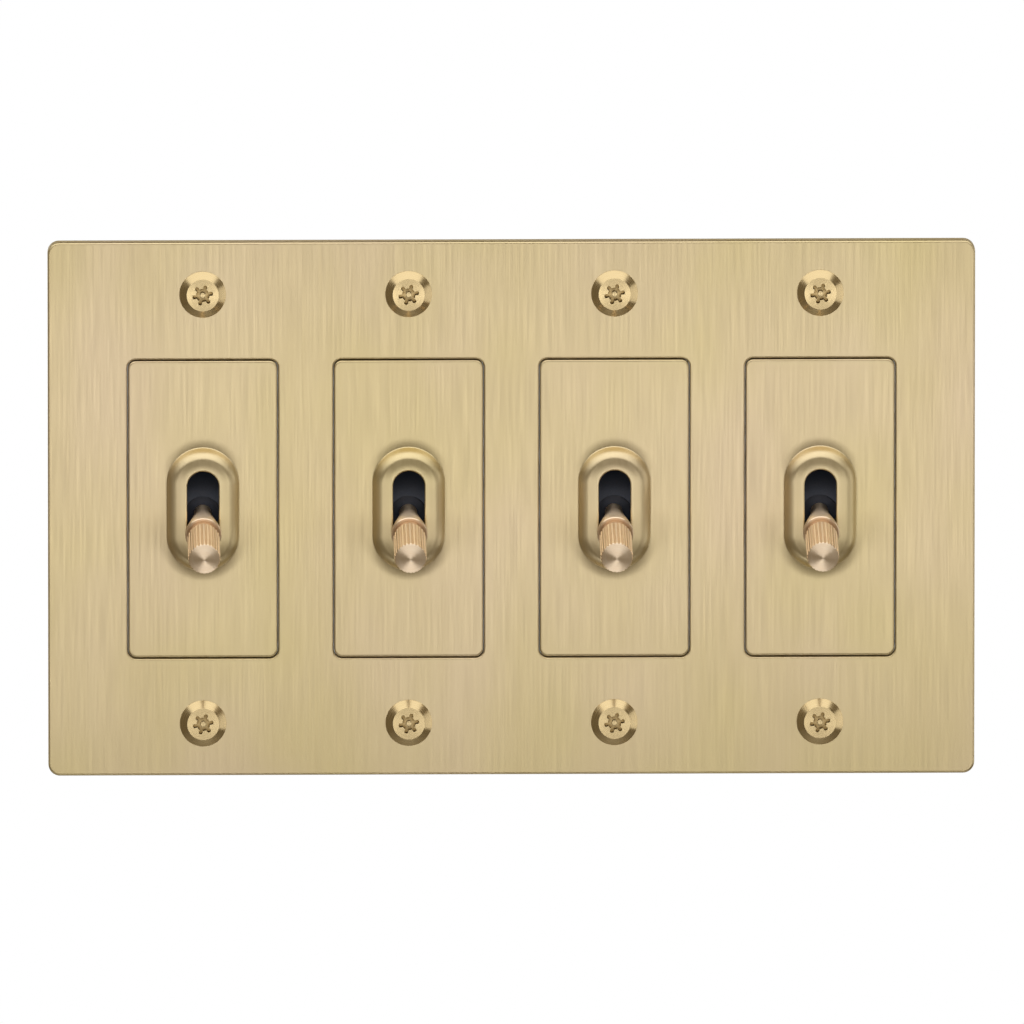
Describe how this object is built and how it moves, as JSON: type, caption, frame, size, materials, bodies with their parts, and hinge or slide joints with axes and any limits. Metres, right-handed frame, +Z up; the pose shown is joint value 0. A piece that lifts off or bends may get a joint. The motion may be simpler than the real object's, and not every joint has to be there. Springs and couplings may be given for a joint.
{
  "type": "four-gang dolly light switch",
  "caption": "Wide brushed brass wall plate with a row of knurled dolly levers, each in a raised oval boss, over moulded toggle mechanisms on steel yokes.",
  "frame": {"origin": "on the wall plane, at the middle of the plate and of the box-screw pattern", "axes": "+X along the row of gangs to the right as seen from the front, +Z up, -Y out of the wall towards the user, +Y into the wall box"},
  "size_m": [0.2074, 0.0543, 0.1204],
  "materials": {
    "brushed_brass": "satin, brushed upright",
    "turned_brass": "satin, turned",
    "shield_moulding": "moulded, matt",
    "case_moulding": "moulded, fine texture",
    "plunger_moulding": "moulded",
    "contact_brass": "stamped, plain",
    "zinced_steel": "zinc plated",
    "bright_steel": "drawn, bright",
    "green_steel": "green passivated"
  },
  "bodies": {
    "frame": {"face_plate": "brushed_brass", "insert_plate_1": "brushed_brass", "pivot_pin_1": "bright_steel", "upper_terminal_1": "contact_brass", "lower_terminal_1": "contact_brass", "common_terminal_1": "contact_brass", "housing_1": "case_moulding", "housing_cover_1": "case_moulding", "yoke_1": "zinced_steel", "insert_plate_2": "brushed_brass", "pivot_pin_2": "bright_steel", "upper_terminal_2": "contact_brass", "lower_terminal_2": "contact_brass", "common_terminal_2": "contact_brass", "housing_2": "case_moulding", "housing_cover_2": "case_moulding", "yoke_2": "zinced_steel", "insert_plate_3": "brushed_brass", "pivot_pin_3": "bright_steel", "upper_terminal_3": "contact_brass", "lower_terminal_3": "contact_brass", "common_terminal_3": "contact_brass", "housing_3": "case_moulding", "housing_cover_3": "case_moulding", "yoke_3": "zinced_steel", "insert_plate_4": "brushed_brass", "pivot_pin_4": "bright_steel", "upper_terminal_4": "contact_brass", "lower_terminal_4": "contact_brass", "common_terminal_4": "contact_brass", "housing_4": "case_moulding", "housing_cover_4": "case_moulding", "yoke_4": "zinced_steel", "plate_screws": "turned_brass", "terminal_screws": "contact_brass", "ground_screws": "green_steel", "body_screws": "zinced_steel"},
    "dolly_1": {"lever_1": "turned_brass", "cradle_1": "shield_moulding", "plunger_1": "plunger_moulding", "plunger_spring_1": "bright_steel"},
    "bridge_1": {"contact_bridge_1": "contact_brass"},
    "dolly_2": {"lever_2": "turned_brass", "cradle_2": "shield_moulding", "plunger_2": "plunger_moulding", "plunger_spring_2": "bright_steel"},
    "bridge_2": {"contact_bridge_2": "contact_brass"},
    "dolly_3": {"lever_3": "turned_brass", "cradle_3": "shield_moulding", "plunger_3": "plunger_moulding", "plunger_spring_3": "bright_steel"},
    "bridge_3": {"contact_bridge_3": "contact_brass"},
    "dolly_4": {"lever_4": "turned_brass", "cradle_4": "shield_moulding", "plunger_4": "plunger_moulding", "plunger_spring_4": "bright_steel"},
    "bridge_4": {"contact_bridge_4": "contact_brass"}
  },
  "joints": [
    {"name": "lever_swing_1", "type": "hinge", "parent": "frame", "child": "dolly_1", "pos_m": [-0.06906, 0.008, 0], "axis": [-1, 0, 0], "range_deg": [0, 27]},
    {"name": "bridge_swing_1", "type": "hinge", "parent": "frame", "child": "bridge_1", "pos_m": [-0.06906, 0.01905, 0], "axis": [1, 0, 0], "range_deg": [0, 12]},
    {"name": "lever_swing_2", "type": "hinge", "parent": "frame", "child": "dolly_2", "pos_m": [-0.02302, 0.008, 0], "axis": [-1, 0, 0], "range_deg": [0, 27]},
    {"name": "bridge_swing_2", "type": "hinge", "parent": "frame", "child": "bridge_2", "pos_m": [-0.02302, 0.01905, 0], "axis": [1, 0, 0], "range_deg": [0, 12]},
    {"name": "lever_swing_3", "type": "hinge", "parent": "frame", "child": "dolly_3", "pos_m": [0.02302, 0.008, 0], "axis": [-1, 0, 0], "range_deg": [0, 27]},
    {"name": "bridge_swing_3", "type": "hinge", "parent": "frame", "child": "bridge_3", "pos_m": [0.02302, 0.01905, 0], "axis": [1, 0, 0], "range_deg": [0, 12]},
    {"name": "lever_swing_4", "type": "hinge", "parent": "frame", "child": "dolly_4", "pos_m": [0.06906, 0.008, 0], "axis": [-1, 0, 0], "range_deg": [0, 27]},
    {"name": "bridge_swing_4", "type": "hinge", "parent": "frame", "child": "bridge_4", "pos_m": [0.06906, 0.01905, 0], "axis": [1, 0, 0], "range_deg": [0, 12]}
  ],
  "couplings": [
    {"joint": "bridge_swing_1", "follows": "lever_swing_1", "ratio": 0.4444},
    {"joint": "bridge_swing_2", "follows": "lever_swing_2", "ratio": 0.4444},
    {"joint": "bridge_swing_3", "follows": "lever_swing_3", "ratio": 0.4444},
    {"joint": "bridge_swing_4", "follows": "lever_swing_4", "ratio": 0.4444}
  ]
}
